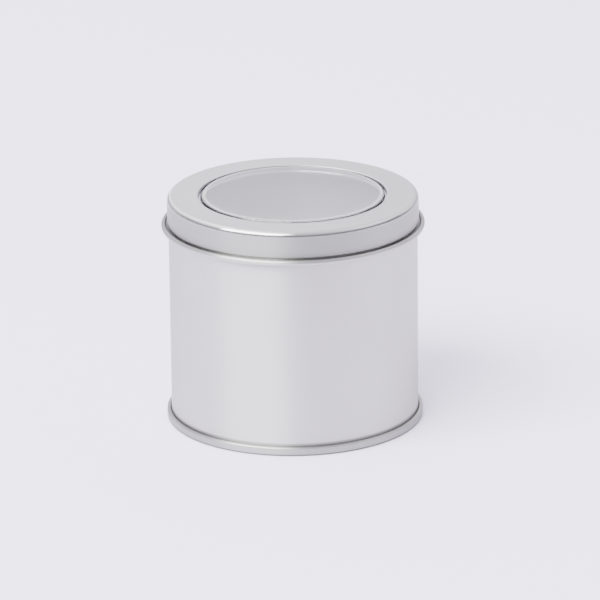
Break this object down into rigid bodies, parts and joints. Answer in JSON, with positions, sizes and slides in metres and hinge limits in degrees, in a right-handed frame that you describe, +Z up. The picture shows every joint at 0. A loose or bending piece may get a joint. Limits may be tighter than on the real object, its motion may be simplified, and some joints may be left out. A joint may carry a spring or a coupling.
{
  "type": "window lid tin",
  "caption": "Round tinplate tin with a rolled bead, a double seamed base and a slip lid that has a raised clear window.",
  "frame": {"origin": "centre of the foot, on the surface that the tin stands on", "axes": "+Z up through the lid, -Y to the front, the body's side seam at the back on +Y"},
  "size_m": [0.0679, 0.0678, 0.06],
  "materials": {
    "tinplate": "smooth satin tinplate, bare on both sides",
    "clear_plastic": "clear formed plastic, slightly soft",
    "seam_rubber": "matt"
  },
  "bodies": {
    "tin": {"body_shell": "tinplate", "base_plate": "tinplate", "seam_compound": "seam_rubber"},
    "lid": {"lid_shell": "tinplate", "window_pane": "clear_plastic", "window_ring": "tinplate"}
  },
  "joints": [
    {"name": "lid_lift", "type": "slide", "parent": "tin", "child": "lid", "axis": [0, 0, 1], "range_m": [0, 0.03]}
  ]
}
